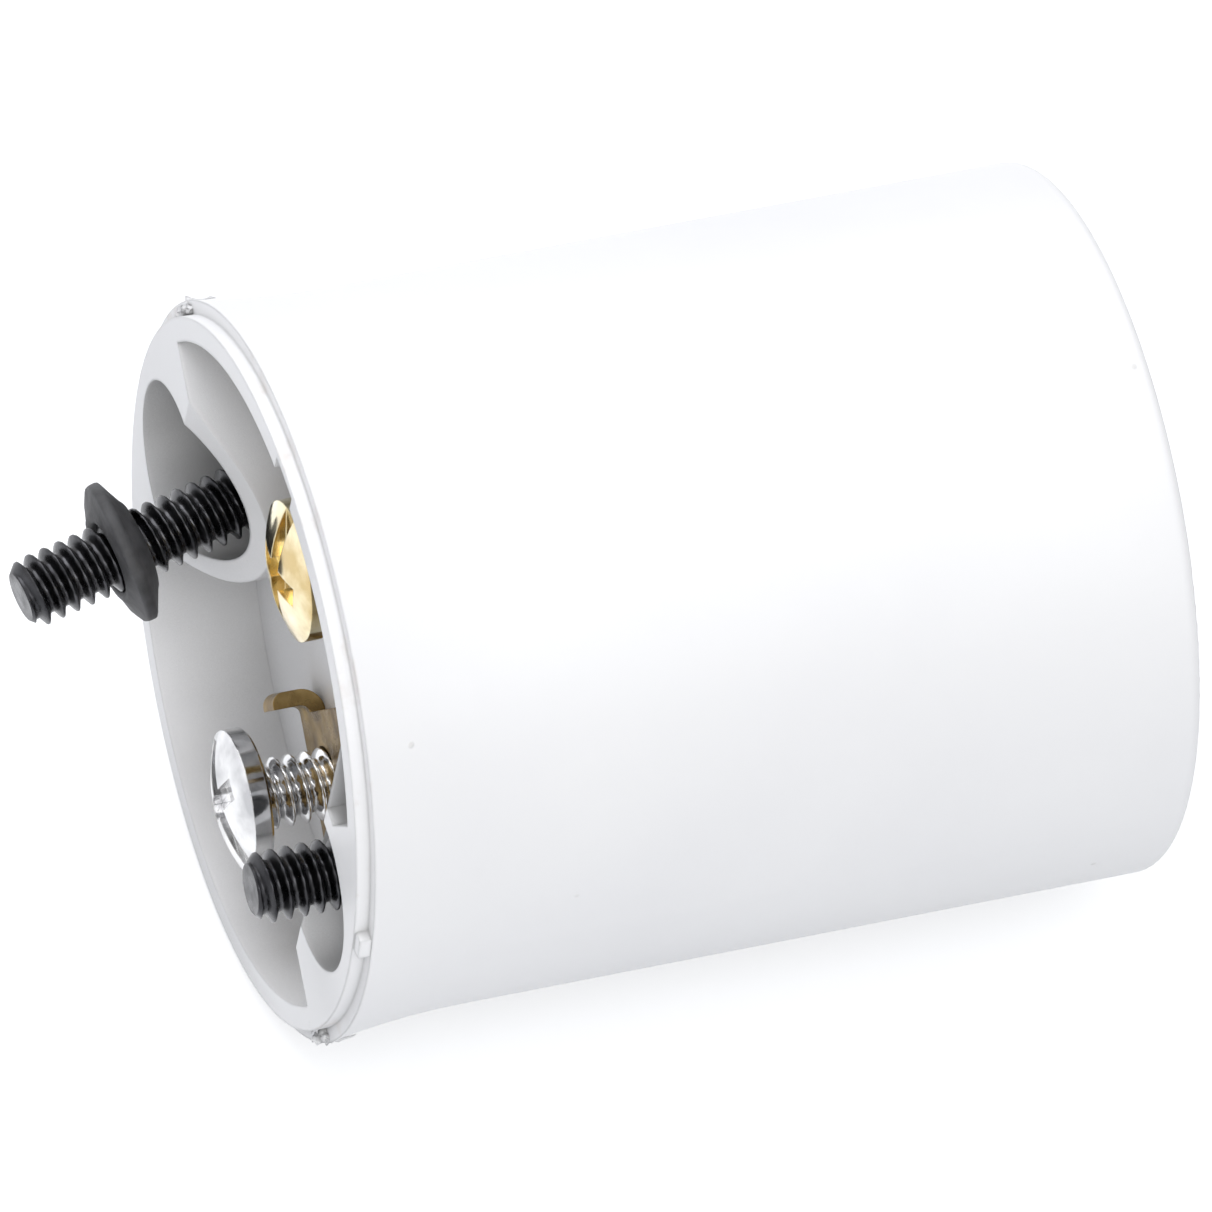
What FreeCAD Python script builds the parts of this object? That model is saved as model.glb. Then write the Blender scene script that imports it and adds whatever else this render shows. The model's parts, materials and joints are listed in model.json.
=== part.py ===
"""Keyless medium-base lamp holder: a one-piece moulded body with a rolled screw shell in its mouth,
a wiring recess at its rear, two screw terminals and two captive mounting screws.

Millimetres. The origin is the centre of the mouth, +Z runs along the axis to the wiring end,
and +X runs towards the lower mounting screw.
"""
import FreeCAD
import Part
import math
import os

V = FreeCAD.Vector

# Body
body_length = 42.6          # mouth to rear rim
cavity_depth = 30.1         # mouth to the floor that the contacts lie on
wall_at_pockets = 1.1       # between a mounting pocket and the outside
flare_swell = 0.6           # the rear end swells to seat on its cover
flare_length = 7.5
rim_set_in = 0.7            # rabbet round the rear rim: how wide and how high
rim_step = 0.7
mouth_round = 0.6
bore_chamfer = 0.8
lug_angle = 8.7             # small stop that crosses the rabbet
lug_width = 1.2
lug_root = 0.3
lug_set_back = 0.1

# Wiring recess
recess_wall = 1.3
recess_depth = 5.6
key_slot_width = 2.4        # slot in the recess wall on +Y
key_slot_bite = 0.8
key_slot_depth = 5.0

# Mounting screws and their pockets
mount_spacing = 23.6
pocket_radius = 4.6
pocket_wall = 1.2
mount_floor = 3.2           # under each pocket, above the cavity
screw_hole_radius = 2.3
driver_groove_clearance = 1.55  # round each screw head, in the side of the lamp cavity
slope_set_in = 0.2          # the boss falls away towards the axis from just inside its centre
slope_ratio = 0.57
land_edge_inner = 4.3       # edge of the land beside the boss: at the boss, and further out
land_edge_outer = 8.7
land_edge_run = 3.0
web_width = 0.6             # thin wall that closes the well beside the +X boss

# Number 6 machine screws
thread_radius = 1.75
point_chamfer = 0.5
head_edge_chamfer = 0.15    # under each head's edge
mount_screw_reach = 9.7     # past the rear rim, with the head on the cavity floor
mount_head_radius = 2.8
mount_head_height = 2.0
mount_head_edge = 1.4       # height of the head's straight side
mount_slot_width = 1.0
mount_slot_depth = 1.1
lower_screw_forward = 6.55  # how far the lower screw's head stands off the cavity floor
upper_lean_in = 0.19        # lean of the upper screw per unit length, towards the axis
upper_lean_side = -0.135    # and sideways; negative is towards -Y

# Retaining washers
retainer_from_point = 5.5   # screw point to the washer's middle
retainer_radius = 3.6
retainer_rim = 0.8
retainer_hub = 2.0
retainer_hub_radius = 2.5
running_clearance = 0.05

# Terminals
terminal_turn = 59.1        # the terminal plates lie square to this direction
live_screw_at = (6.2, 4.4)
neutral_screw_at = (-6.2, -5.9)
terminal_screw_length = 6.35
binding_head_radius = 3.45
binding_head_height = 1.8
binding_head_edge = 1.0     # height of the head's straight side
binding_slot_width = 1.1
binding_slot_depth = 0.8
binding_cross_reach = 2.1
live_backed_out = 2.2       # gap under each screw's head
neutral_backed_out = 3.8
live_slot_turn = 20
neutral_slot_turn = 75
plate_thickness = 0.8
plate_near = 2.8            # from the screw to the plate's four edges
plate_far = 4.0
plate_ear_side = 4.7
plate_plain_side = 3.3
plate_corner = 0.4
ear_width = 1.9
ear_height = 1.75           # above the plate
ear_bend_radius = 0.4       # inside the bend
ear_tip_round = 0.6         # on the outer side of its tip
arm_width = 3.6
terminal_hole_radius = 2.1
terminal_hole_depth = 6.0

# Eyelets
eyelet_radius = 1.5
eyelet_bore = 1.1
eyelet_flange = 1.7
eyelet_flange_height = 0.4
live_eyelet_at = (1.9, 1.1)
neutral_eyelet_at = (-1.9, -8.9)

# Screw shell, medium base
shell_pitch = 3.629
shell_turns = 5
shell_major_radius = 13.25
shell_thread_depth = 0.85
shell_thickness = 0.4
shell_clearance = 0.45      # between the shell and the cavity's wall
shell_start = 2.4           # below the mouth
shell_lip = 0.5
leg_width = 5.6
leg_lap = 0.5               # how far each leg runs up inside the shell's last turn
foot_inner_radius = 6.8

# Centre contact
contact_thickness = 0.4
contact_width = 5.0
contact_rise = 5.1          # cavity floor to the top of the crown
contact_bend_radius = 2.1
contact_foot_end = 2.3      # past the eyelet
contact_reach = 4.2         # from the axis to the bend
contact_tongue = 3.4
contact_tip_rise = 0.3

# Allowance by which cutting and joining shapes run past each other
past = 1.0

# Worked out from the sizes above
mount_radius = mount_spacing / 2
body_radius = mount_radius + pocket_radius + wall_at_pockets
flare_radius = body_radius + flare_swell
rim_radius = flare_radius - rim_set_in
recess_radius = body_radius - recess_wall
bore_radius = shell_major_radius + shell_thickness + shell_clearance
driver_groove_radius = mount_head_radius + driver_groove_clearance
recess_floor = body_length - recess_depth
pocket_floor = cavity_depth + mount_floor
boss_radius = pocket_radius + pocket_wall
slope_start = mount_radius - slope_set_in
plate_top = recess_floor + plate_thickness
mount_screw_length = body_length - cavity_depth + mount_screw_reach
screw_bore = thread_radius + running_clearance
eyelet_hole = eyelet_radius + running_clearance
shell_end = shell_start + shell_lip + shell_turns * shell_pitch
shell_middle = shell_major_radius - shell_thread_depth / 2


def cylinder(radius, height, x=0.0, y=0.0, z=0.0):
    return Part.makeCylinder(radius, height, V(x, y, z))


def prism(points, z, height):
    """An upright prism on a closed outline of (x, y) points."""
    wire = Part.makePolygon([V(x, y, z) for x, y in points + points[:1]])
    return Part.Face(wire).extrude(V(0, 0, height))


def block(x0, x1, y0, y1, z0, z1):
    return Part.makeBox(x1 - x0, y1 - y0, z1 - z0, V(x0, y0, z0))


def line(a, b):
    return Part.makeLine(V(a[0], 0, a[1]), V(b[0], 0, b[1]))


def arc(a, middle, b):
    points = [V(p[0], 0, p[1]) for p in (a, middle, b)]
    return Part.Arc(*points).toShape()


def quarter_arc(a, centre, b):
    """A quarter round from a to b about centre, all (radius, z) or (x, z) points."""
    root = math.sqrt(0.5)
    middle = [c + (p - c + q - c) * root for p, c, q in zip(a, centre, b)]
    return arc(a, middle, b)


def turned(edges):
    """Revolve a closed outline of (radius, z) edges about the axis."""
    return Part.Face(Part.Wire(edges)).revolve(V(0, 0, 0), V(0, 0, 1), 360)


def outline(points):
    return [line(a, b) for a, b in zip(points[:-1], points[1:])]


def half_turn(shape):
    return shape.rotated(V(0, 0, 0), V(0, 0, 1), 180)


def terminal_turned(shape):
    return shape.rotated(V(0, 0, 0), V(0, 0, 1), terminal_turn)


def terminal_point(point):
    """A point in the terminals' own directions, as row x and y."""
    turn = math.radians(terminal_turn)
    x = point[0] * math.cos(turn) - point[1] * math.sin(turn)
    y = point[0] * math.sin(turn) + point[1] * math.cos(turn)
    return x, y


# ---- body ----

def body_blank():
    """The outside: a straight barrel, rounded at the mouth, with a hollow flare and a rabbet."""
    flare_foot = body_length - flare_length
    shoulder = body_length - rim_step
    run = shoulder - flare_foot
    flare_curve = (run ** 2 + flare_swell ** 2) / (2 * flare_swell)
    half_run = run / 2
    middle_radius = body_radius + flare_curve - math.sqrt(flare_curve ** 2 - half_run ** 2)
    mouth_flat = body_radius - mouth_round
    edges = [
        line((0, 0), (mouth_flat, 0)),
        quarter_arc((mouth_flat, 0), (mouth_flat, mouth_round), (body_radius, mouth_round)),
        line((body_radius, mouth_round), (body_radius, flare_foot)),
        arc((body_radius, flare_foot), (middle_radius, flare_foot + half_run), (flare_radius, shoulder)),
    ]
    edges += outline([
        (flare_radius, shoulder), (rim_radius, shoulder), (rim_radius, body_length), (0, body_length), (0, 0)])
    return turned(edges)


def lamp_cavity():
    cavity = cylinder(bore_radius, cavity_depth)
    cone = Part.makeCone(bore_radius + bore_chamfer, bore_radius, bore_chamfer)
    groove = cylinder(driver_groove_radius, cavity_depth, mount_radius)
    return cavity.fuse([cone, groove, half_turn(groove)])


def slope_wedge():
    """What the slope takes off a boss, from slope_start towards the axis."""
    fall = slope_ratio * slope_start
    wide = body_radius
    face = Part.Face(Part.makePolygon([
        V(slope_start, -wide, body_length),
        V(slope_start, -wide, body_length + past),
        V(0, -wide, body_length + past),
        V(0, -wide, body_length - fall),
        V(slope_start, -wide, body_length),
    ]))
    return face.extrude(V(0, 2 * wide, 0))


def mount_boss():
    """What stays standing in the recess round the +X mounting pocket: a boss, and a land out to the wall."""
    tangent = math.asin(boss_radius / mount_radius)
    reach = math.sqrt(mount_radius ** 2 - boss_radius ** 2)
    across = math.cos(tangent), -math.sin(tangent)
    land = prism([
        (reach * across[0], reach * across[1]),
        (flare_radius * across[0], flare_radius * across[1]),
        (flare_radius + past, 0),
        (slope_start + land_edge_run, land_edge_outer),
        (slope_start, land_edge_inner),
        (mount_radius, 0),
    ], recess_floor, recess_depth)
    boss = cylinder(boss_radius, recess_depth, mount_radius, 0, recess_floor).fuse(land)
    return trimmed_to_recess(boss)


def trimmed_to_recess(shape):
    """Cut to the slope, and to just inside the recess wall's thickness."""
    inside = cylinder(recess_radius + recess_wall / 2, recess_depth, 0, 0, recess_floor)
    return shape.common(inside).cut(slope_wedge())


def well_web():
    """The thin wall from the +X boss to the recess wall on its +Y side."""
    web = block(slope_start - web_width, slope_start, 0, recess_radius, recess_floor, body_length)
    return trimmed_to_recess(web)


def wiring_recess():
    recess = cylinder(recess_radius, recess_depth + past, 0, 0, recess_floor)
    boss = mount_boss()
    recess = recess.cut([boss, half_turn(boss), well_web()])
    half = key_slot_width / 2
    slot = block(-half, half, 0, recess_radius + key_slot_bite,
                 body_length - key_slot_depth, body_length + past)
    return recess.fuse(slot)


def mount_hole():
    pocket = cylinder(pocket_radius, body_length - pocket_floor + past, mount_radius, 0, pocket_floor)
    through = mount_floor + 2 * past
    hole = cylinder(screw_hole_radius, through, mount_radius, 0, cavity_depth - past)
    return pocket.fuse(hole)


def rim_lug():
    half = lug_width / 2
    lug = block(rim_radius - lug_root, flare_radius - lug_set_back, -half, half,
                body_length - rim_step - lug_root, body_length - lug_set_back)
    return lug.rotated(V(0, 0, 0), V(0, 0, 1), lug_angle)


def socket_body():
    body = body_blank()
    tools = [lamp_cavity(), wiring_recess(), mount_hole(), half_turn(mount_hole())]
    for spot in (live_screw_at, neutral_screw_at):
        x, y = terminal_point(spot)
        floor = recess_floor - terminal_hole_depth
        tools.append(cylinder(terminal_hole_radius, terminal_hole_depth + past, x, y, floor))
    for spot in (live_eyelet_at, neutral_eyelet_at):
        x, y = terminal_point(spot)
        through = recess_floor - cavity_depth + 2 * past
        tools.append(cylinder(eyelet_hole, through, x, y, cavity_depth - past))
    body = body.cut(tools)
    return body.fuse(rim_lug()).removeSplitter()


# ---- screw shell ----

def shell_profile(offset):
    """The rolled thread as a chain of tangent arcs, offset outwards from the inner surface."""
    quarter = shell_pitch / 4
    curve = (4 * quarter ** 2 + shell_thread_depth ** 2) / (4 * shell_thread_depth)
    half_angle = math.asin(quarter / curve)
    points = []
    start = shell_start + shell_lip
    for half in range(2 * shell_turns):
        outward = 1 if half % 2 == 0 else -1
        radius = curve + outward * offset
        centre_z = start + (2 * half + 1) * quarter
        centre_r = shell_middle - outward * curve * math.cos(half_angle)
        ends = []
        for angle in (-half_angle, 0, half_angle):
            ends.append((centre_r + outward * radius * math.cos(angle),
                         centre_z + radius * math.sin(angle)))
        points.append(ends)
    return points


def rolled_shell():
    inner = shell_profile(0)
    outer = shell_profile(shell_thickness)
    lip_in = (inner[0][0][0], shell_start)
    lip_out = (outer[0][0][0], shell_start)
    edges = [line(lip_in, inner[0][0])]
    edges += [arc(*ends) for ends in inner]
    edges.append(line(inner[-1][2], outer[-1][2]))
    edges += [arc(*reversed(ends)) for ends in reversed(outer)]
    edges += outline([outer[0][0], lip_out, lip_in])
    return turned(edges)


def shell_leg():
    """A leg from the shell down to the cavity floor, with a foot turned in along it, on +X."""
    half = leg_width / 2
    top = shell_end - leg_lap
    sleeve = cylinder(shell_middle + shell_thickness, cavity_depth - top, 0, 0, top)
    sleeve = sleeve.cut(cylinder(shell_middle, cavity_depth, 0, 0, top))
    leg = sleeve.common(block(0, body_radius, -half, half, top, cavity_depth))
    foot = block(foot_inner_radius, shell_middle + shell_thickness / 2, -half, half,
                 cavity_depth - shell_thickness, cavity_depth)
    return leg.fuse(foot)


def screw_shell():
    """Rolled sheet-metal shell with two legs; one foot is held by an eyelet."""
    x, y = terminal_point(neutral_eyelet_at)
    leg = shell_leg().rotated(V(0, 0, 0), V(0, 0, 1), math.degrees(math.atan2(y, x)))
    shell = rolled_shell().fuse([leg, half_turn(leg)])
    hole = cylinder(eyelet_hole, cavity_depth, x, y, shell_end)
    return shell.cut(hole).removeSplitter()


# ---- centre contact ----

def centre_contact():
    """A folded spring leaf: flat foot, half-round bend and a crowned tongue under the lamp."""
    x, y = terminal_point(live_eyelet_at)
    floor = cavity_depth
    t = contact_thickness
    foot_y = y + contact_foot_end
    bend_y = -contact_reach
    outer = contact_bend_radius + t / 2
    top = floor - 2 * outer
    crown = floor - contact_rise
    tip = (contact_tongue, top + contact_tip_rise)

    def edge(a, b):
        return Part.makeLine(V(0, a[0], a[1]), V(0, b[0], b[1]))

    def bow(a, m, b):
        return Part.Arc(V(0, *a), V(0, *m), V(0, *b)).toShape()

    edges = [
        edge((foot_y, floor), (bend_y, floor)),
        bow((bend_y, floor), (bend_y - outer, floor - outer), (bend_y, top)),
        bow((bend_y, top), (0, crown), tip),
        edge(tip, (tip[0], tip[1] + t)),
        bow((tip[0], tip[1] + t), (0, crown + t), (bend_y, top + t)),
        bow((bend_y, top + t), (bend_y - outer + t, floor - outer), (bend_y, floor - t)),
        edge((bend_y, floor - t), (foot_y, floor - t)),
        edge((foot_y, floor - t), (foot_y, floor)),
    ]
    leaf = Part.Face(Part.Wire(edges)).extrude(V(contact_width, 0, 0))
    leaf.translate(V(-contact_width / 2, 0, 0))
    return leaf.cut(cylinder(eyelet_hole, 3 * t, x, y, floor - 2 * t))


# ---- terminals ----

def ear():
    """The plate's ear, turned up from a flat root; its outer face is on y = 0 and x runs 0 to ear_width."""
    t = plate_thickness
    outside = ear_bend_radius + t
    top = t + ear_height
    r = ear_tip_round
    bend = (-outside, outside)
    edges = [
        quarter_arc((-outside, 0), bend, (0, outside)),
        line((0, outside), (0, top - r)),
        quarter_arc((0, top - r), (-r, top - r), (-r, top)),
    ]
    edges += outline([(-r, top), (-t, top), (-t, outside)])
    edges.append(quarter_arc((-t, outside), bend, (-outside, t)))
    edges.append(line((-outside, t), (-outside, 0)))
    shape = Part.Face(Part.Wire(edges)).extrude(V(0, ear_width, 0))
    return shape.rotated(V(0, 0, 0), V(0, 0, 1), 90).mirror(V(0, 0, 0), V(1, 0, 0))


def round_corners(plate):
    upright = [e for e in plate.Edges if abs(e.tangentAt(e.FirstParameter).z) > 0.99]
    return plate.makeFillet(plate_corner, upright)


def plate_blank(screw_at, eyelet_at):
    """A flat plate round the origin of its screw, with an arm to its eyelet and an ear on +Y."""
    body_edge = plate_ear_side - ear_bend_radius - plate_thickness
    plate = block(-plate_near, plate_far, -plate_plain_side, body_edge, 0, plate_thickness)
    plate = round_corners(plate)
    ex, ey = eyelet_at[0] - screw_at[0], eyelet_at[1] - screw_at[1]
    half = arm_width / 2
    arm = block(0, ex + half, ey - half, ey + half, 0, plate_thickness)
    tab = ear()
    tab.translate(V(-plate_near, plate_ear_side, 0))
    root = block(-plate_near, -plate_near + ear_width, 0, body_edge, 0, plate_thickness)
    return plate.fuse([arm, root, tab])


def terminal_plate(screw_at, eyelet_at, mirror):
    """A terminal plate in its place; mirror turns it half round, for the far terminal."""
    if mirror:
        plate = half_turn(plate_blank((-screw_at[0], -screw_at[1]), (-eyelet_at[0], -eyelet_at[1])))
    else:
        plate = plate_blank(screw_at, eyelet_at)
    ex, ey = eyelet_at[0] - screw_at[0], eyelet_at[1] - screw_at[1]
    plate = plate.cut(cylinder(screw_bore, 2 * past, 0, 0, -past / 2))
    plate = plate.cut(cylinder(eyelet_hole, 2 * past, ex, ey, -past / 2))
    plate.translate(V(screw_at[0], screw_at[1], recess_floor))
    return terminal_turned(plate.removeSplitter())


def eyelet(spot, front, rear):
    """A tubular rivet between two z levels, its flanges outside them."""
    x, y = terminal_point(spot)
    low, high = front - eyelet_flange_height, rear + eyelet_flange_height
    tube = cylinder(eyelet_radius, high - low, 0, 0, low)
    for z in (low, rear):
        tube = tube.fuse(cylinder(eyelet_flange, eyelet_flange_height, 0, 0, z))
    tube = tube.cut(cylinder(eyelet_bore, high - low + 2 * past, 0, 0, low - past))
    tube.translate(V(x, y, 0))
    return tube.removeSplitter()


# ---- screws ----

def crown_arc(radius, edge_z, crown_z):
    """The domed top of a head, from its crown on the axis to its edge."""
    rise = edge_z - crown_z
    curve = (radius ** 2 + rise ** 2) / (2 * rise)
    half = radius / 2
    middle_z = crown_z + curve - math.sqrt(curve ** 2 - half ** 2)
    return arc((0, crown_z), (half, middle_z), (radius, edge_z))


def screw_blank(length, radius, height, edge):
    """A screw on the axis, point up, its head's underside on z = 0; edge is the height of the head's side."""
    under = head_edge_chamfer
    edges = [crown_arc(radius, -edge, -height)]
    edges += outline([
        (radius, -edge), (radius, -under), (radius - under, 0), (thread_radius, 0),
        (thread_radius, length - point_chamfer), (thread_radius - point_chamfer, length),
        (0, length), (0, -height)])
    return turned(edges)


def mounting_screw():
    radius, top = mount_head_radius, -mount_head_height
    screw = screw_blank(mount_screw_length, radius, mount_head_height, mount_head_edge)
    half = mount_slot_width / 2
    slot = block(-radius, radius, -half, half, top, top + mount_slot_depth)
    return screw.cut(slot)


def terminal_screw():
    """A binding-head screw with a combination slot, made point up like the others."""
    radius, top = binding_head_radius, -binding_head_height
    screw = screw_blank(terminal_screw_length, radius, binding_head_height, binding_head_edge)
    half = binding_slot_width / 2
    floor = top + binding_slot_depth
    slot = block(-radius, radius, -half, half, top, floor)
    cross = block(-half, half, -binding_cross_reach, binding_cross_reach, top, floor)
    return screw.cut([slot, cross])


def terminal_screw_in_place(spot, backed_out, turn):
    screw = terminal_screw().rotated(V(0, 0, 0), V(1, 0, 0), 180)
    screw = screw.rotated(V(0, 0, 0), V(0, 0, 1), turn)
    x, y = terminal_point(spot)
    screw.translate(V(x, y, plate_top + backed_out))
    return screw


def retaining_washer():
    """A grip washer, thick at its hub and thin at its rim, centred on z = 0."""
    half_hub, half_rim = retainer_hub / 2, retainer_rim / 2
    return turned(outline([
        (screw_bore, -half_hub), (retainer_hub_radius, -half_hub), (retainer_radius, -half_rim),
        (retainer_radius, half_rim), (retainer_hub_radius, half_hub), (screw_bore, half_hub),
        (screw_bore, -half_hub)]))


def washer_on_screw():
    washer = retaining_washer()
    washer.translate(V(0, 0, mount_screw_length - retainer_from_point))
    return washer


def lower_in_place(shape):
    shape.translate(V(mount_radius, 0, cavity_depth - lower_screw_forward))
    return shape


def upper_in_place(shape):
    """Lean about the middle of the screw's hole, with the head drawn up against the cavity floor."""
    lean = V(upper_lean_in, upper_lean_side, 1)
    lean.normalize()
    pivot = V(-mount_radius, 0, (cavity_depth + pocket_floor) / 2)
    tilt = FreeCAD.Rotation(V(0, 0, 1), lean)
    head_lift = mount_head_radius * math.tan(math.acos(lean.z))
    drop = (pivot.z - cavity_depth) / lean.z + head_lift + running_clearance
    start = pivot - lean * drop
    shape.Placement = FreeCAD.Placement(start, tilt).multiply(shape.Placement)
    return shape


def main():
    contact_front = cavity_depth - contact_thickness
    foot_front = cavity_depth - shell_thickness
    parts = {
        "socket_body": socket_body(),
        "screw_shell": screw_shell(),
        "centre_contact": centre_contact(),
        "live_terminal_plate": terminal_plate(live_screw_at, live_eyelet_at, True),
        "neutral_terminal_plate": terminal_plate(neutral_screw_at, neutral_eyelet_at, False),
        "contact_eyelet": eyelet(live_eyelet_at, contact_front, plate_top),
        "shell_eyelet": eyelet(neutral_eyelet_at, foot_front, plate_top),
        "brass_terminal_screw": terminal_screw_in_place(live_screw_at, live_backed_out, live_slot_turn),
        "nickel_terminal_screw": terminal_screw_in_place(neutral_screw_at, neutral_backed_out, neutral_slot_turn),
        "lower_mounting_screw": lower_in_place(mounting_screw()),
        "lower_retaining_washer": lower_in_place(washer_on_screw()),
        "upper_mounting_screw": upper_in_place(mounting_screw()),
        "upper_retaining_washer": upper_in_place(washer_on_screw()),
    }
    os.makedirs("parts", exist_ok=True)
    for name, shape in parts.items():
        shape.exportStep("parts/" + name + ".step")
        print(name, shape.isValid(), len(shape.Solids), round(shape.Volume, 1), shape.BoundBox)


main()
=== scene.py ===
"""Looks of the lamp holder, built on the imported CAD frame. Metres, in the row frame:
+Z runs along the axis to the wiring end, and the holder lies on its side on the floor."""
import json
import math

import bmesh
import bpy
from mathutils import Matrix, Vector, noise as field


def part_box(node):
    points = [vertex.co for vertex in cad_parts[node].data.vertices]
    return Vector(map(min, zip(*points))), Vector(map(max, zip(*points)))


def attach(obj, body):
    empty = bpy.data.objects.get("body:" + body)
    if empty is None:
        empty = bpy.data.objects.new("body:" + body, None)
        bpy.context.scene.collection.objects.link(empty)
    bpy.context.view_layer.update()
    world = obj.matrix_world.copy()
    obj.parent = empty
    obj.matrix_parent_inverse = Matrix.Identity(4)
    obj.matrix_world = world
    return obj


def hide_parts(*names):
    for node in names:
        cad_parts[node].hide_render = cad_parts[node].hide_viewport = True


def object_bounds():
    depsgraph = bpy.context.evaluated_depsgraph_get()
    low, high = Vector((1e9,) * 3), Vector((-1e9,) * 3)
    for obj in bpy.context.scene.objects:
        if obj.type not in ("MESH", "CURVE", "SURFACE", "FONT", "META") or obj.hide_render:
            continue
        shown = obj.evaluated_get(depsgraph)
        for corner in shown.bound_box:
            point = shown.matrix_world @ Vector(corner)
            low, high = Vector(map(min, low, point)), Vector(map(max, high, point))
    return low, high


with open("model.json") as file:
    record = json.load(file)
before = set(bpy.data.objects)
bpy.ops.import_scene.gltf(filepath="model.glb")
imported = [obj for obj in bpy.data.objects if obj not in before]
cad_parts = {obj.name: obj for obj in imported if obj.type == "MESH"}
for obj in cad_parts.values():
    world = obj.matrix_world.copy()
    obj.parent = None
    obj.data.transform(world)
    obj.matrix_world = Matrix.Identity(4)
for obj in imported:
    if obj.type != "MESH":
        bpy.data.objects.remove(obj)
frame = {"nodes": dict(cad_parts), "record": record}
cad_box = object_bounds()
nodes = frame["nodes"]
joints = {j["name"]: j for j in frame["record"]["behaviour"]["joints"]}

# The vector noise takes its seed from the clock unless it is given one
NOISE_SEED = 1
field.seed_set(NOISE_SEED)

MM = 0.001
Z = Vector((0, 0, 1))

# Camera: the side of the holder that faces it, and how far it looks past the rear rim
FACING = math.radians(59.1)
ABOVE_REAR = math.radians(15.6)
ROLL = math.radians(10.75)
VIEW_WIDTH = 58.35 * MM
LENS = 600.0
SENSOR = 36.0
LOOK_AT_Z = 24.2 * MM
LOOK_BELOW_AXIS = 0.03 * MM

# Floor: how far it tilts from facing up the picture to facing the camera, and its glow where it is seen
FLOOR_TILT = math.radians(52)
FLOOR_SIZE = 0.6
FLOOR_GREY = (0.62, 0.63, 0.65)
FLOOR_LIFT = 0.58

# Room that lights the holder: how much of its level comes from the mouth's side and from its patches
ROOM_LIGHT = 0.62
MOUTH_SIDE_SHARE = 0.72
PATCH_SHARE = 0.26
PATCH_SCALE = 1.6

# Moulded body: the radii and heights over which the painted shade in the rabbet fades in, its specks, and the
# reach of the painted shade in the hollows
RABBET_WALL = (17.25 * MM, 17.40 * MM)
RABBET_FLOOR = (41.7 * MM, 42.0 * MM)
SPECK_SPACING = 7.5 * MM
SPECK_RADIUS = 0.22 * MM
BODY_EDGE = 0.22 * MM
PAINTED_SHADE_REACH = 10 * MM

# Number 6 thread: crest and flank widths are shares of the half pitch
THREAD_MAJOR = 1.75 * MM
THREAD_MINOR = 1.29 * MM
THREAD_PITCH = 0.794 * MM
THREAD_CREST = 0.125
THREAD_FLANK = 0.625
POINT_CHAMFER = 0.5 * MM

# Heads, slots (half of x, half of y, depth) and lengths of the two kinds of screw, in millimetres
BINDING = {"length": 6.35, "radius": 3.45, "height": 1.8, "edge": 1.0,
           "slots": [(3.6, 0.55, 0.8), (0.55, 2.1, 0.8)]}
MOUNTING = {"length": 22.2, "radius": 2.8, "height": 2.0, "edge": 1.4, "slots": [(3.0, 0.5, 1.1)]}
POINT_TO_WASHER = 5.5 * MM
DOME_STEPS = 8
HEAD_CHAMFER = 0.15 * MM
SHANK_IN_HEAD = 0.3 * MM
CUT_PAST = 1.0 * MM

# Retaining washer: one half of its section, as (radius, z) in millimetres, and its unevenness
WASHER_SECTION = [(1.8, -0.72), (1.9, -0.82), (2.3, -0.82), (2.45, -0.72),
                  (3.42, -0.34), (3.56, -0.25), (3.6, -0.14)]
WASHER_RADIUS = 3.6 * MM
WASHER_STIFF_RADIUS = 1.85 * MM
WASHER_RIPPLE = 0.05 * MM
WASHER_RIPPLE_SIZE = 0.9 * MM
WASHER_FLEX = 0.6 * MM

# Medium shell thread
SHELL_PITCH = 3.629 * MM
SHELL_MAJOR = 13.25 * MM
SHELL_MINOR = 12.4 * MM
SHELL_SHEET = 0.4 * MM
SHELL_START = 2.4 * MM
SHELL_END = 21.0 * MM
SHELL_ROWS = 140
SHELL_AROUND = 120
LEG_LAP = 0.3 * MM

# Moulding flash: the fin's path as (radius, z) in millimetres, over the rim, through the rabbet and
# onto the barrel, and the crumbs' (radius, z) and spread (outward, sideways, along z) in millimetres
FIN_PATH = [(17.0, 42.6), (17.4, 42.5), (17.5, 42.0), (18.05, 41.95), (18.12, 41.6), (18.05, 40.4)]
FIN_STEPS = 26
FIN_SINK = 0.1 * MM
FIN_DRIFT = 0.25 * MM
CRUMBS = 9
CRUMB_HOME = (17.7, 42.05)
CRUMB_SPREAD = (0.35, 1.3, 0.35)

toward = Vector((math.cos(FACING), math.sin(FACING), 0))
upward = Vector((-math.sin(FACING), math.cos(FACING), 0))
to_camera = math.cos(ABOVE_REAR) * toward + math.sin(ABOVE_REAR) * Z
along_barrel = upward.cross(to_camera).normalized()
floor_normal = math.sin(FLOOR_TILT) * toward + math.cos(FLOOR_TILT) * upward


def polar(radius, turn, z):
    """The point at a radius, a share of a full turn and a height."""
    return radius * math.cos(turn * math.tau), radius * math.sin(turn * math.tau), z


def link(thing):
    bpy.context.scene.collection.objects.link(thing)


# ---------------------------------------------------------------- camera

def make_camera():
    data = bpy.data.cameras.new("camera")
    data.lens, data.sensor_width = LENS, SENSOR
    distance = LENS / SENSOR * VIEW_WIDTH
    data.clip_start, data.clip_end = distance * 0.1, distance * 10
    camera = bpy.data.objects.new("camera", data)
    link(camera)
    right = math.cos(ROLL) * along_barrel - math.sin(ROLL) * upward
    up = to_camera.cross(right)
    target = LOOK_AT_Z * Z - LOOK_BELOW_AXIS * upward
    turn = Matrix((right, up, to_camera)).transposed().to_4x4()
    camera.matrix_world = Matrix.Translation(target + distance * to_camera) @ turn
    bpy.context.scene.camera = camera
    bpy.context.scene.view_settings.view_transform = "Standard"


# ---------------------------------------------------------------- shader nodes

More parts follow.
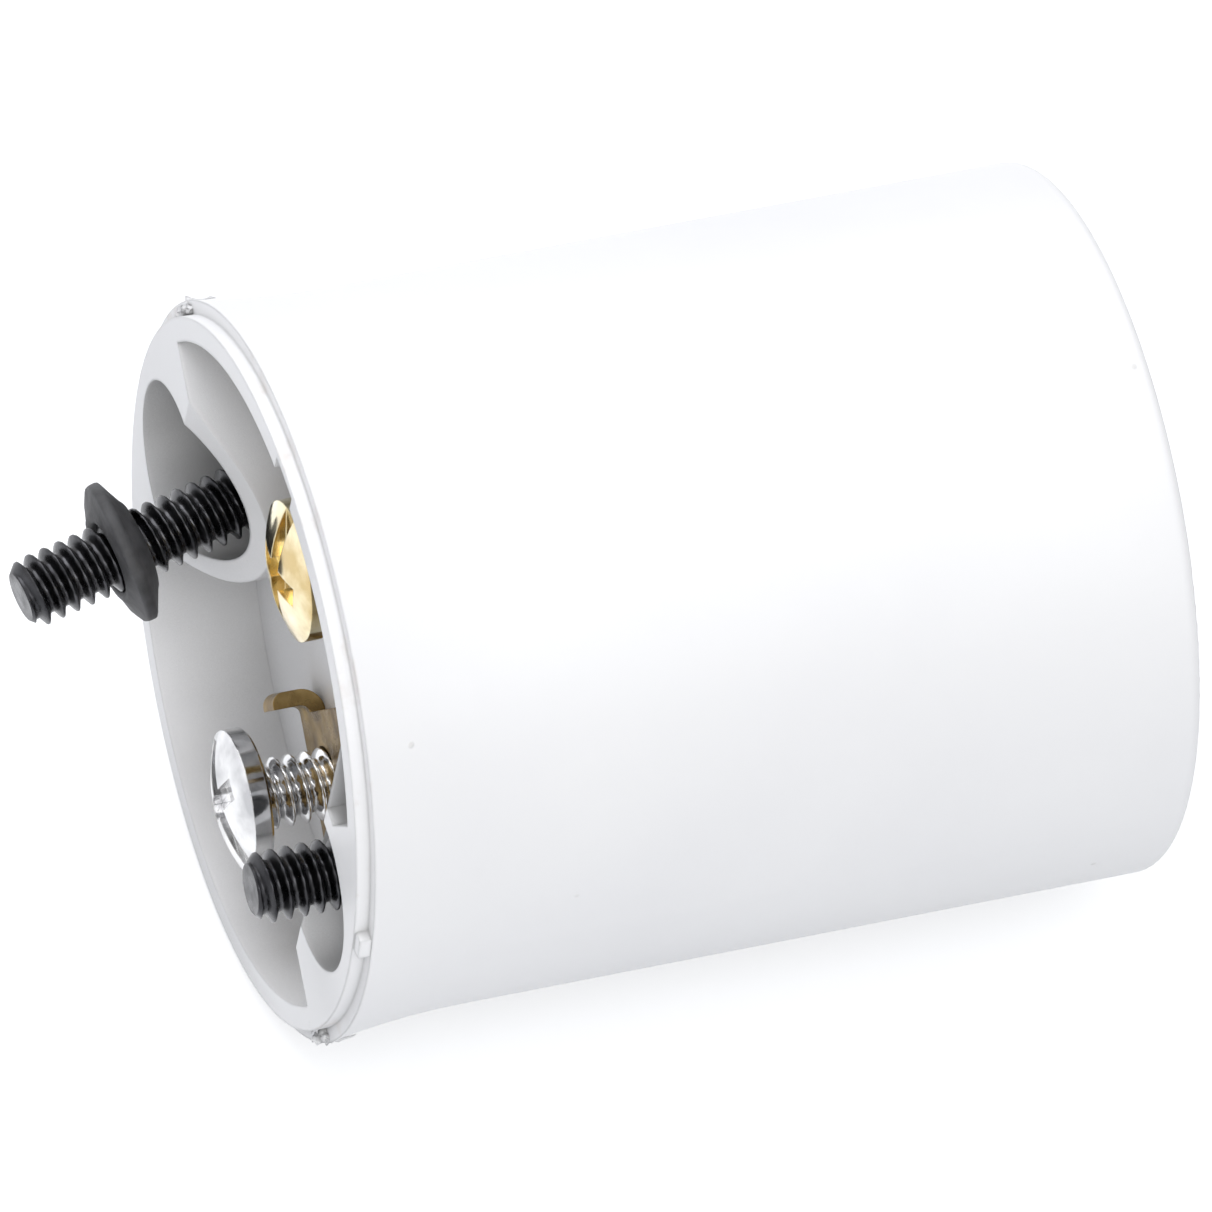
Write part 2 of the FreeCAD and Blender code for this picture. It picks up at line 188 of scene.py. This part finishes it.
def new_material(name):
    material = bpy.data.materials.new(name)
    material.use_nodes = True
    tree = material.node_tree
    tree.nodes.clear()
    out = tree.nodes.new("ShaderNodeOutputMaterial")
    return material, tree, out


def math_node(tree, operation, *values):
    node = tree.nodes.new("ShaderNodeMath")
    node.operation = operation
    for socket, value in zip(node.inputs, values):
        if isinstance(value, (int, float)):
            socket.default_value = value
        else:
            tree.links.new(value, socket)
    return node.outputs[0]


def mix_shaders(tree, fac, first, second):
    mix = tree.nodes.new("ShaderNodeMixShader")
    for socket, output in zip(mix.inputs, (fac, first, second)):
        tree.links.new(output, socket)
    return mix.outputs[0]


def seen_ray(tree):
    """1 for camera, glossy and transmission rays, which all see the white background."""
    path = tree.nodes.new("ShaderNodeLightPath")
    mirrored = math_node(tree, "MAXIMUM", path.outputs["Is Glossy Ray"], path.outputs["Is Transmission Ray"])
    return math_node(tree, "MAXIMUM", path.outputs["Is Camera Ray"], mirrored)


def noise_texture(tree, scale, detail, coords):
    place = tree.nodes.new("ShaderNodeTexCoord")
    texture = tree.nodes.new("ShaderNodeTexNoise")
    texture.inputs["Scale"].default_value = scale
    texture.inputs["Detail"].default_value = detail
    tree.links.new(place.outputs[coords], texture.inputs["Vector"])
    return texture.outputs["Fac"]


def noise(tree, scale, detail):
    """Noise in the piece's own coordinates, in features per metre."""
    return noise_texture(tree, scale, detail, "Object")


def axes(tree, coords):
    """The X, Y and Z outputs of a coordinate."""
    place = tree.nodes.new("ShaderNodeTexCoord")
    split = tree.nodes.new("ShaderNodeSeparateXYZ")
    tree.links.new(place.outputs[coords], split.inputs[0])
    return split.outputs


def ramp(tree, fac, stops):
    node = tree.nodes.new("ShaderNodeValToRGB")
    elements = node.color_ramp.elements
    while len(elements) < len(stops):
        elements.new(0.5)
    for element, (place, colour) in zip(elements, stops):
        element.position = place
        element.color = (*colour, 1)
    tree.links.new(fac, node.inputs["Fac"])
    return node.outputs["Color"]


def step_up(tree, value, low, high):
    """0 below low and 1 above high, smooth between."""
    node = tree.nodes.new("ShaderNodeMapRange")
    node.interpolation_type = "SMOOTHSTEP"
    node.inputs["From Min"].default_value = low
    node.inputs["From Max"].default_value = high
    tree.links.new(value, node.inputs["Value"])
    return node.outputs["Result"]


def blend_colour(tree, fac, base, over):
    node = tree.nodes.new("ShaderNodeMix")
    node.data_type = "RGBA"
    tree.links.new(fac, node.inputs["Factor"])
    tree.links.new(base, node.inputs["A"])
    node.inputs["B"].default_value = (*over, 1)
    return node.outputs["Result"]


def soft_edges(tree, radius):
    node = tree.nodes.new("ShaderNodeBevel")
    node.samples = 4
    node.inputs["Radius"].default_value = radius
    return node.outputs["Normal"]


def bump(tree, height, distance, strength, under):
    node = tree.nodes.new("ShaderNodeBump")
    node.inputs["Distance"].default_value = distance
    node.inputs["Strength"].default_value = strength
    tree.links.new(height, node.inputs["Height"])
    tree.links.new(under, node.inputs["Normal"])
    return node.outputs["Normal"]


# ---------------------------------------------------------------- floor and light

def floor_material():
    """Takes the holder's shadow, is lifted to white where it is seen, and is clear from below."""
    material, tree, out = new_material("floor_white")
    diffuse = tree.nodes.new("ShaderNodeBsdfDiffuse")
    diffuse.inputs["Color"].default_value = (*FLOOR_GREY, 1)
    glow = tree.nodes.new("ShaderNodeEmission")
    glow.inputs["Color"].default_value = (1.0, 1.0, 1.0, 1)
    tree.links.new(math_node(tree, "MULTIPLY", seen_ray(tree), FLOOR_LIFT), glow.inputs["Strength"])
    both = tree.nodes.new("ShaderNodeAddShader")
    tree.links.new(diffuse.outputs[0], both.inputs[0])
    tree.links.new(glow.outputs[0], both.inputs[1])
    clear = tree.nodes.new("ShaderNodeBsdfTransparent")
    below = tree.nodes.new("ShaderNodeNewGeometry").outputs["Backfacing"]
    tree.links.new(mix_shaders(tree, below, both.outputs[0], clear.outputs[0]), out.inputs["Surface"])
    return material


def make_floor():
    """A square that the barrel's widest ring lies on."""
    barrel_reach = cad_box[1].x
    mesh = bpy.data.meshes.new("floor")
    side = floor_normal.cross(Z)
    centre = -barrel_reach * floor_normal + LOOK_AT_Z * Z
    half = FLOOR_SIZE / 2
    corners = [centre + sx * half * side + sz * half * Z for sx, sz in ((-1, -1), (-1, 1), (1, 1), (1, -1))]
    mesh.from_pydata(corners, [], [(0, 1, 2, 3)])
    if mesh.polygons[0].normal.dot(floor_normal) < 0:
        mesh.flip_normals()
    floor = bpy.data.objects.new("floor", mesh)
    floor.data.materials.append(floor_material())
    link(floor)


def background(tree, strength):
    node = tree.nodes.new("ShaderNodeBackground")
    node.inputs["Color"].default_value = (1, 1, 1, 1)
    node.inputs["Strength"].default_value = strength
    return node


def make_world():
    """White where it is seen; a softly uneven room, dimmer on the wiring end's side, lights the rest."""
    world = bpy.data.worlds.new("studio")
    world.use_nodes = True
    tree = world.node_tree
    tree.nodes.clear()
    out = tree.nodes.new("ShaderNodeOutputWorld")
    from_mouth = step_up(tree, axes(tree, "Generated")["Z"], 0.75, -0.25)
    patches = step_up(tree, noise_texture(tree, PATCH_SCALE, 1.0, "Generated"), 0.40, 0.60)
    patches = math_node(tree, "MULTIPLY", patches, PATCH_SHARE)
    level = math_node(tree, "MULTIPLY_ADD", from_mouth, MOUTH_SIDE_SHARE, patches)
    room = background(tree, ROOM_LIGHT)
    room_colour = ramp(tree, level, [(0.0, (0.70, 0.70, 0.71)), (1.0, (0.97, 0.98, 1.0))])
    tree.links.new(room_colour, room.inputs["Color"])
    white = background(tree, 1.0)
    both = mix_shaders(tree, seen_ray(tree), room.outputs[0], white.outputs[0])
    tree.links.new(both, out.inputs["Surface"])
    bpy.context.scene.world = world


def area_light(name, direction, distance, size, watts, colour=(1, 1, 1)):
    """A rectangle of light that looks at the middle of the holder from a direction."""
    data = bpy.data.lights.new(name, "AREA")
    data.shape = "RECTANGLE"
    data.size, data.size_y = size
    data.energy = watts
    data.color = colour
    light = bpy.data.objects.new(name, data)
    light.location = LOOK_AT_Z * Z + distance * direction.normalized()
    light.rotation_mode = "QUATERNION"
    light.rotation_quaternion = direction.to_track_quat("Z", "Y")
    link(light)


def make_lights():
    area_light("key", upward + 0.45 * toward + 0.30 * Z, distance=0.35, size=(0.30, 0.25), watts=0.70,
               colour=(0.96, 0.97, 1.0))
    area_light("front", toward + 0.2 * Z - 0.12 * upward, distance=0.6, size=(0.40, 0.40), watts=1.66)


# ---------------------------------------------------------------- materials

def surface(name, metallic=0.0, roughness=0.4):
    material, tree, out = new_material(name)
    shader = tree.nodes.new("ShaderNodeBsdfPrincipled")
    shader.inputs["Metallic"].default_value = metallic
    shader.inputs["Roughness"].default_value = roughness
    tree.links.new(shader.outputs[0], out.inputs["Surface"])
    return material, tree, shader


def rabbet_mask(tree):
    """1 in the rabbet round the rear rim."""
    at = axes(tree, "Object")
    squares = [math_node(tree, "MULTIPLY", at[a], at[a]) for a in "XY"]
    radius = math_node(tree, "SQRT", math_node(tree, "ADD", *squares))
    past_wall = step_up(tree, radius, *RABBET_WALL)
    return math_node(tree, "MULTIPLY", past_wall, step_up(tree, at["Z"], *RABBET_FLOOR))


def specks(tree, spacing, radius):
    """1 on small scattered spots."""
    place = tree.nodes.new("ShaderNodeTexCoord")
    cells = tree.nodes.new("ShaderNodeTexVoronoi")
    cells.inputs["Scale"].default_value = 1 / spacing
    tree.links.new(place.outputs["Object"], cells.inputs["Vector"])
    return step_up(tree, cells.outputs["Distance"], radius / spacing, 0.4 * radius / spacing)


def painted_hollow_shade_mask(tree):
    """Painted shade: up to 1 deep in the recess and the pockets, where less light reaches, to darken the
    colour there.
    """
    open_air = tree.nodes.new("ShaderNodeAmbientOcclusion")
    open_air.samples = 4
    open_air.inputs["Distance"].default_value = PAINTED_SHADE_REACH
    shade = math_node(tree, "SUBTRACT", 0.62, math_node(tree, "MULTIPLY", open_air.outputs["AO"], 0.85))
    return step_up(tree, shade, 0.0, 0.45)


def moulding_material():
    """White urea: clean satin barrel and a few specks, with painted shade as faint brownish blotches in the
    rear rim's rabbet and as grey in the recess and the pockets.
    """
    material, tree, shader = surface("white_urea", roughness=0.42)
    colour = ramp(tree, noise(tree, 60, 6), [(0.35, (0.85, 0.85, 0.86)), (0.65, (0.88, 0.88, 0.885))])
    spots = specks(tree, SPECK_SPACING, SPECK_RADIUS)
    colour = blend_colour(tree, math_node(tree, "MULTIPLY", spots, 0.35), colour, (0.55, 0.53, 0.50))
    # Painted shade: brownish blotches in the rabbet's step, where its shadow falls
    rabbet_painted_shade = math_node(tree, "MULTIPLY", rabbet_mask(tree), step_up(tree, noise(tree, 420, 5), 0.56, 0.72))
    colour = blend_colour(tree, math_node(tree, "MULTIPLY", rabbet_painted_shade, 0.30), colour, (0.52, 0.42, 0.33))
    # Painted shade: the recess and the pockets darkened towards grey
    painted_hollow_shade = math_node(tree, "MULTIPLY", painted_hollow_shade_mask(tree), 0.68)
    colour = blend_colour(tree, painted_hollow_shade, colour, (0.33, 0.33, 0.325))
    tree.links.new(colour, shader.inputs["Base Color"])
    normal = soft_edges(tree, BODY_EDGE)
    normal = bump(tree, noise(tree, 2600, 3), 0.02 * MM, 0.25, normal)
    normal = bump(tree, noise(tree, 130, 2), 0.10 * MM, 0.5, normal)
    normal = bump(tree, spots, 0.06 * MM, 0.6, normal)
    tree.links.new(normal, shader.inputs["Normal"])
    return material


def metal_material(name, dark, light, roughness, grain=1500, depth=0.01 * MM):
    """Metal that is dark in places, with worn patches and a fine grain in features per metre."""
    material, tree, shader = surface(name, metallic=1.0, roughness=roughness)
    colour = ramp(tree, noise(tree, grain * 0.3, 5), [(0.35, dark), (0.68, light)])
    tree.links.new(colour, shader.inputs["Base Color"])
    smooth, worn = (roughness * 0.7,) * 3, (roughness * 1.5,) * 3
    tree.links.new(ramp(tree, noise(tree, grain * 0.8, 4), [(0.3, smooth), (0.75, worn)]),
                   shader.inputs["Roughness"])
    normal = bump(tree, noise(tree, grain, 4), depth, 0.4, soft_edges(tree, 0.08 * MM))
    tree.links.new(normal, shader.inputs["Normal"])
    return material


def washer_material():
    material, tree, shader = surface("washer_dark", roughness=0.62)
    colour = ramp(tree, noise(tree, 900, 6), [(0.3, (0.022, 0.022, 0.024)), (0.7, (0.06, 0.06, 0.064))])
    tree.links.new(colour, shader.inputs["Base Color"])
    normal = bump(tree, noise(tree, 2200, 5), 0.05 * MM, 0.7, soft_edges(tree, 0.15 * MM))
    tree.links.new(normal, shader.inputs["Normal"])
    return material


def dress(node, material):
    data = nodes[node].data
    data.materials.clear()
    data.materials.append(material)


# ---------------------------------------------------------------- turned and threaded pieces

def mesh_object(name, mesh, material, body, slot, *replaced):
    piece = bpy.data.objects.new(name, mesh)
    link(piece)
    mesh.materials.clear()
    mesh.materials.append(material)
    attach(piece, body)
    if replaced:
        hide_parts(*replaced)


def loft(shape, rings):
    """Joins rings of vertices; a ring of one vertex is a pole."""
    for low, high in zip(rings, rings[1:]):
        count = max(len(low), len(high))
        for j in range(count):
            k = (j + 1) % count
            corners = [low[j % len(low)], low[k % len(low)], high[k % len(high)], high[j % len(high)]]
            kept = [v for i, v in enumerate(corners) if v not in corners[:i]]
            shape.faces.new(kept)


def add_turned(shape, outline, around=72):
    """A closed solid of revolution about Z from (radius, z) points."""
    rings = []
    for r, z in outline:
        count = 1 if r < 1e-9 else around
        rings.append([shape.verts.new(polar(r, j / around, z)) for j in range(count)])
    loft(shape, rings)


def thread_depth(turns):
    """0 on the crest and 1 at the root of a 60 degree thread, for a place counted in turns."""
    from_crest = abs((turns % 1.0) - 0.5) * 2
    return min(1.0, max(0.0, (from_crest - THREAD_CREST) / THREAD_FLANK))


def add_thread(shape, start, end, around=48, per_turn=14):
    """A threaded shank on +Z from the head at start to its chamfered point at end."""
    rows = int(round((end - start) / THREAD_PITCH * per_turn))
    rings = []
    for i in range(rows + 1):
        z = start + (end - start) * i / rows
        ring = []
        for j in range(around):
            turn = j / around
            r = THREAD_MAJOR - (THREAD_MAJOR - THREAD_MINOR) * thread_depth(z / THREAD_PITCH - turn)
            r = min(r, THREAD_MAJOR - POINT_CHAMFER + (end - z))
            ring.append(shape.verts.new(polar(r, turn, z)))
        rings.append(ring)
    loft(shape, rings)
    shape.faces.new(rings[0])
    shape.faces.new(rings[-1])


def finish_mesh(shape, name, smooth_angle=35):
    mesh = bpy.data.meshes.new(name)
    bmesh.ops.recalc_face_normals(shape, faces=shape.faces)
    shape.to_mesh(mesh)
    shape.free()
    mesh.shade_smooth()
    mesh.set_sharp_from_angle(angle=math.radians(smooth_angle))
    return mesh


def box_mesh(half_x, half_y, z0, z1):
    shape = bmesh.new()
    bmesh.ops.create_cube(shape, size=1)
    size = Matrix.Diagonal((2 * half_x, 2 * half_y, z1 - z0, 1))
    bmesh.ops.transform(shape, matrix=Matrix.Translation((0, 0, (z0 + z1) / 2)) @ size, verts=shape.verts)
    return finish_mesh(shape, "cutter")


def cut_by(mesh, cutters):
    """The mesh less its cutters, by an exact boolean."""
    target = bpy.data.objects.new("target", mesh)
    link(target)
    tools = []
    for cutter in cutters:
        tool = bpy.data.objects.new("tool", cutter)
        link(tool)
        modifier = target.modifiers.new("cut", "BOOLEAN")
        modifier.operation, modifier.solver, modifier.object = "DIFFERENCE", "EXACT", tool
        tools.append(tool)
    bpy.context.view_layer.update()
    result = bpy.data.meshes.new_from_object(target.evaluated_get(bpy.context.evaluated_depsgraph_get()))
    for used in [target] + tools:
        bpy.data.objects.remove(used)
    return result


def head_outline(kind):
    """From the crown on the axis, over the dome and down the side to the underside."""
    radius, height, edge = kind["radius"] * MM, kind["height"] * MM, kind["edge"] * MM
    rise = height - edge
    curve = (radius ** 2 + rise ** 2) / (2 * rise)
    outline = []
    for i in range(DOME_STEPS + 1):
        r = radius * i / DOME_STEPS
        outline.append((r, -height + curve - math.sqrt(curve ** 2 - r ** 2)))
    return outline + [(radius, -HEAD_CHAMFER), (radius - HEAD_CHAMFER, 0), (0, 0)]


def screw_mesh(name, kind):
    """A screw whose head's underside is on z = 0 and whose point is up."""
    shape = bmesh.new()
    add_turned(shape, head_outline(kind))
    top = -kind["height"] * MM
    cutters = [box_mesh(x * MM, y * MM, top - CUT_PAST, top + depth * MM) for x, y, depth in kind["slots"]]
    head = cut_by(finish_mesh(shape, name + "_head"), cutters)
    shape = bmesh.new()
    shape.from_mesh(head)
    add_thread(shape, -SHANK_IN_HEAD, kind["length"] * MM)
    return finish_mesh(shape, name)


def turned_to(axis):
    """The turn that takes Z to the axis."""
    return axis.normalized().to_track_quat("Z", "X").to_matrix().to_4x4()


def place_screw(node, kind, point, axis, turn, body, slot, material):
    """axis runs from the head to the point, and turn is in degrees about it."""
    mesh = screw_mesh(node + "_threaded", kind)
    spin = Matrix.Rotation(math.radians(turn), 4, "Z")
    under_head = point - axis.normalized() * kind["length"] * MM
    mesh.transform(Matrix.Translation(under_head) @ turned_to(axis) @ spin)
    mesh_object(node + "_threaded", mesh, material, body, slot, node)


def box_centre(node, z):
    low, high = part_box(node)
    return Vector(((low.x + high.x) / 2, (low.y + high.y) / 2, z))


def washer_outline():
    """Thick hub, two cones and a thin rounded rim; the bore grips the thread."""
    points = WASHER_SECTION + [(r, -z) for r, z in reversed(WASHER_SECTION)]
    return [(r * MM, z * MM) for r, z in points + points[:1]]


def place_washer(node, centre, axis, body, material, flex=Vector((0, 0, 0))):
    """flex bends one side of the soft rim towards the screw's point, by that far at its edge."""
    shape = bmesh.new()
    add_turned(shape, washer_outline(), 96)
    bmesh.ops.remove_doubles(shape, verts=shape.verts, dist=1e-9)
    for vertex in shape.verts:
        ripple = WASHER_RIPPLE * field.noise_vector(vertex.co / WASHER_RIPPLE_SIZE)
        vertex.co += ripple * (vertex.co.xy.length / WASHER_RADIUS)
    mesh = finish_mesh(shape, node + "_moulded", 50)
    upright = turned_to(axis)
    tip = upright.transposed().to_3x3() @ flex
    for vertex in mesh.vertices:
        past_hub = vertex.co.xy.length - WASHER_STIFF_RADIUS
        share = max(0.0, past_hub) / (WASHER_RADIUS - WASHER_STIFF_RADIUS)
        vertex.co.z += share * max(0.0, vertex.co.xy.dot(tip.xy)) / WASHER_RADIUS
    mesh.transform(Matrix.Translation(centre) @ upright)
    mesh_object(node + "_moulded", mesh, material, body, "washer_dark", node)


# ---------------------------------------------------------------- screw shell

def shell_radius(z, turn):
    """The rolled thread's radius, dying out over half a pitch at each end."""
    middle, half = (SHELL_MAJOR + SHELL_MINOR) / 2, (SHELL_MAJOR - SHELL_MINOR) / 2
    fade = min(1.0, (z - SHELL_START) / (0.5 * SHELL_PITCH), (SHELL_END - z) / (0.5 * SHELL_PITCH))
    return middle + half * max(0.0, fade) * math.sin(math.tau * (z / SHELL_PITCH - turn))


def shell_ring(shape, row, sheet):
    """One ring of the rolled sheet, on its inner face or a sheet's thickness outside it."""
    z = SHELL_START + (SHELL_END - SHELL_START) * row / SHELL_ROWS
    turns = [j / SHELL_AROUND for j in range(SHELL_AROUND)]
    return [shape.verts.new(polar(shell_radius(z, turn) + sheet, turn, z)) for turn in turns]


def make_shell(material):
    """Helical sheet shell, with the legs and feet kept from the CAD node."""
    shape = bmesh.new()
    shape.from_mesh(nodes["screw_shell"].data)
    everything = list(shape.verts) + list(shape.edges) + list(shape.faces)
    bmesh.ops.bisect_plane(shape, geom=everything, plane_co=(0, 0, SHELL_END - LEG_LAP), plane_no=(0, 0, 1),
                           clear_inner=True)
    rows = range(SHELL_ROWS + 1)
    rings = [shell_ring(shape, row, 0.0) for row in rows]
    rings += [shell_ring(shape, row, SHELL_SHEET) for row in reversed(rows)]
    loft(shape, rings + rings[:1])
    mesh = finish_mesh(shape, "screw_shell_rolled")
    mesh_object("screw_shell_rolled", mesh, material, "holder", "shell_metal", "screw_shell")


# ---------------------------------------------------------------- moulding flash

def out_and_side(angle):
    """The outward and the sideways direction at an angle round the body."""
    return Vector((math.cos(angle), math.sin(angle), 0)), Vector((-math.sin(angle), math.cos(angle), 0))


def along_fin(t):
    """The (radius, z) point of the fin's path in metres, for t counted in its points."""
    k = min(int(t), len(FIN_PATH) - 2)
    (r0, z0), (r1, z1) = FIN_PATH[k], FIN_PATH[k + 1]
    return (r0 + (r1 - r0) * (t - k)) * MM, (z0 + (z1 - z0) * (t - k)) * MM


def add_fin(shape, angle, seed):
    """A thin ragged fin along its path, at one angle round the body."""
    rings = []
    out, side = out_and_side(angle)
    for i in range(FIN_STEPS + 1):
        r, z = along_fin(i / FIN_STEPS * (len(FIN_PATH) - 1))
        jag = field.noise(Vector((i * 0.9, seed, 0.3)))
        fade = max(0.0, math.sin(math.pi * i / FIN_STEPS)) ** 0.4
        height = (0.10 + 0.42 * max(0.0, jag + 0.25)) * MM * fade
        half = (0.12 + 0.10 * abs(field.noise(Vector((i * 0.7, seed, 4.1))))) * MM
        drift = FIN_DRIFT * field.noise(Vector((i * 0.35, seed, 9.7)))
        foot = out * (r - FIN_SINK) + Z * z + side * drift
        tip = foot + out * height + Z * height * 0.3 + side * drift * 0.5
        rings.append([shape.verts.new(corner) for corner in (foot - side * half, foot + side * half, tip)])
    loft(shape, rings)
    shape.faces.new(rings[0])
    shape.faces.new(rings[-1])


def add_crumb(shape, centre, size, seed):
    """A lump of uneven shape."""
    made = bmesh.ops.create_icosphere(shape, subdivisions=3, radius=1.0)
    for vertex in made["verts"]:
        dent = field.noise_vector(vertex.co * 1.7 + Vector((seed, 0, 0)))
        vertex.co = centre + (vertex.co + 0.55 * dent) * size


def make_flash(name, angle, seed, material):
    """A fin over the rim and a cluster of crumbs in the rabbet."""
    shape = bmesh.new()
    add_fin(shape, angle, seed)
    out, side = out_and_side(angle)
    home_radius, home_z = CRUMB_HOME
    outward, sideways, endways = CRUMB_SPREAD
    for i in range(CRUMBS):
        spread = field.noise_vector(Vector((seed, i * 1.3, 2.2)))
        centre = out * (home_radius + outward * spread.x) * MM + side * (sideways * spread.y) * MM
        centre += Z * (home_z + endways * spread.z) * MM
        add_crumb(shape, centre, (0.17 + 0.22 * abs(spread.z)) * MM, seed + i)
    mesh = finish_mesh(shape, name, 60)
    mesh_object(name, mesh, material, "holder", "body_moulding")


# ---------------------------------------------------------------- the scene

make_camera()
make_floor()
make_world()
make_lights()

white = moulding_material()
shell_metal = metal_material("shell_aluminium", (0.70, 0.70, 0.72), (0.83, 0.83, 0.85), roughness=0.26,
                             grain=3500, depth=0.004 * MM)
brass = metal_material("brass_sheet", (0.15, 0.095, 0.035), (0.44, 0.31, 0.13), roughness=0.30)
bright_brass = metal_material("bright_brass", (0.60, 0.46, 0.23), (0.93, 0.86, 0.62), roughness=0.13)
nickel = metal_material("bright_nickel", (0.46, 0.46, 0.47), (0.86, 0.86, 0.86), roughness=0.10)
black = metal_material("black_oxide", (0.035, 0.035, 0.038), (0.085, 0.085, 0.09), roughness=0.28)
rubbery = washer_material()

dress("socket_body", white)
dress("screw_shell", shell_metal)
for sheet_node in ("centre_contact", "live_terminal_plate", "neutral_terminal_plate",
                   "contact_eyelet", "shell_eyelet"):
    dress(sheet_node, brass)
dress("brass_terminal_screw", bright_brass)
dress("nickel_terminal_screw", nickel)
for place in ("lower", "upper"):
    dress(place + "_mounting_screw", black)
    dress(place + "_retaining_washer", rubbery)

brass_point = box_centre("brass_terminal_screw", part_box("brass_terminal_screw")[0].z)
nickel_point = box_centre("nickel_terminal_screw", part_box("nickel_terminal_screw")[0].z)
lower_point = box_centre("lower_mounting_screw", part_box("lower_mounting_screw")[1].z)
upper_axis = Vector(joints["upper_screw_turn"]["axis"]).normalized()
upper_centre = Vector(joints["upper_screw_turn"]["pos_m"])
upper_point = upper_centre + POINT_TO_WASHER * upper_axis

place_screw("brass_terminal_screw", BINDING, brass_point, -Z, -20, "brass_screw", "screw_brass", bright_brass)
place_screw("nickel_terminal_screw", BINDING, nickel_point, -Z, -75, "nickel_screw", "screw_nickel", nickel)
place_screw("lower_mounting_screw", MOUNTING, lower_point, Z, 0, "lower_screw", "screw_black", black)
place_screw("upper_mounting_screw", MOUNTING, upper_point, upper_axis, 0, "upper_screw", "screw_black", black)
place_washer("lower_retaining_washer", lower_point - POINT_TO_WASHER * Z, Z, "lower_retainer", rubbery)
place_washer("upper_retaining_washer", upper_centre, upper_axis, "upper_retainer", rubbery,
             flex=WASHER_FLEX * to_camera)
make_shell(shell_metal)
make_flash("upper_flash", math.atan2(upward.y, upward.x), 1.7, white)
make_flash("lower_flash", math.atan2(-upward.y, -upward.x), 5.2, white)
